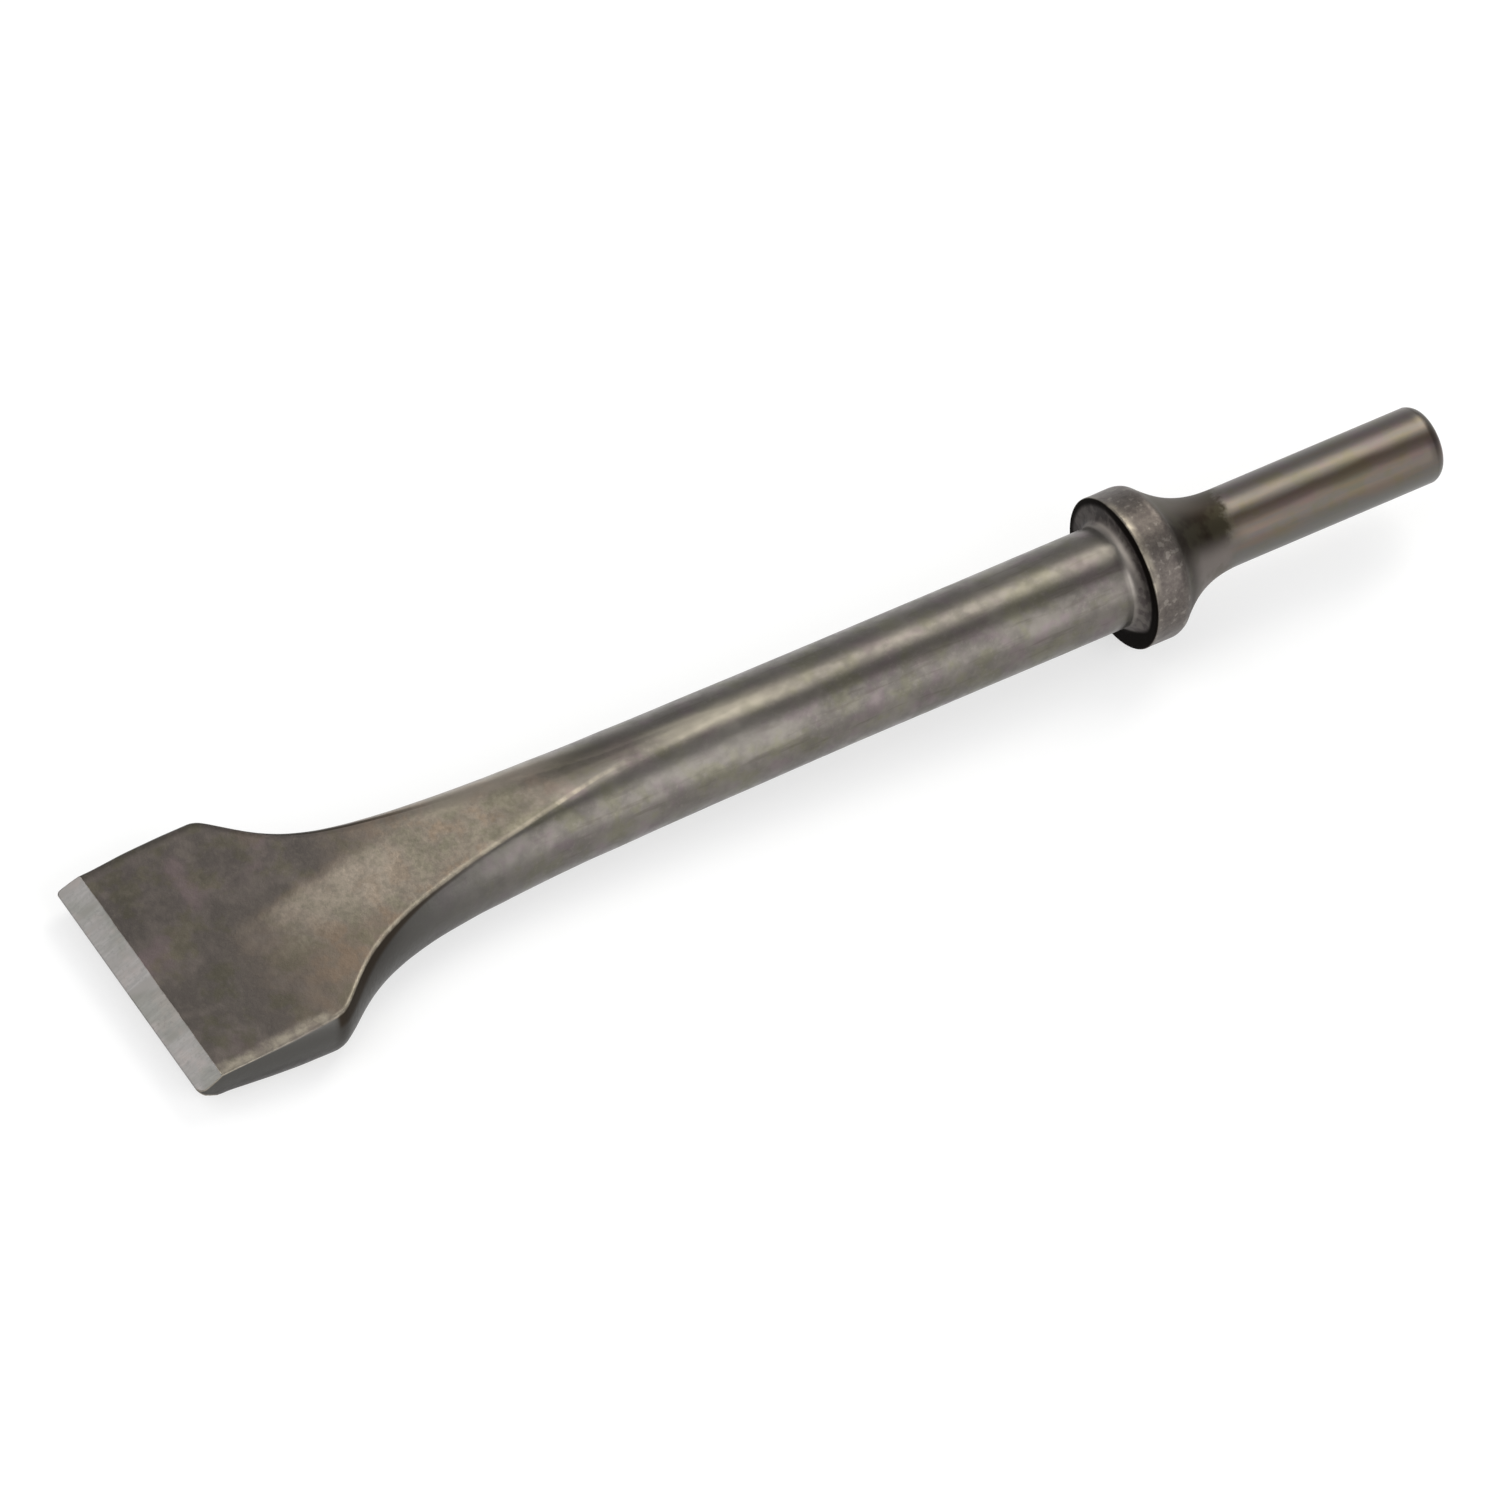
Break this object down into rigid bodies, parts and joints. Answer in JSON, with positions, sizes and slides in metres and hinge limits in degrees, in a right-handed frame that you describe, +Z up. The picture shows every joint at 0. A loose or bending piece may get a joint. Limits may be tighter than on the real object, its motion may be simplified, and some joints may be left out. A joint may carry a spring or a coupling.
{
  "type": "air hammer chisel",
  "caption": "Wide flat chisel for a pneumatic hammer: ground double-bevel edge, forged blade flaring out of a round body, integral collar and a plain round shank.",
  "frame": {"origin": "on the surface the chisel lies on, under the centre of its bounding box", "axes": "+X from the cutting edge towards the striking end, +Y across the blade, +Z up; the bar's axis rises 2.55 degrees towards the striking end, because the chisel rests on its collar and on the underside of its blade"},
  "size_m": [0.1912, 0.036, 0.0205],
  "materials": {
    "forged_steel": "dark grey-brown oxide as forged and heat treated, satin, with a bare ground cutting edge"
  },
  "bodies": {
    "root": {"chisel": "forged_steel"}
  },
  "joints": []
}
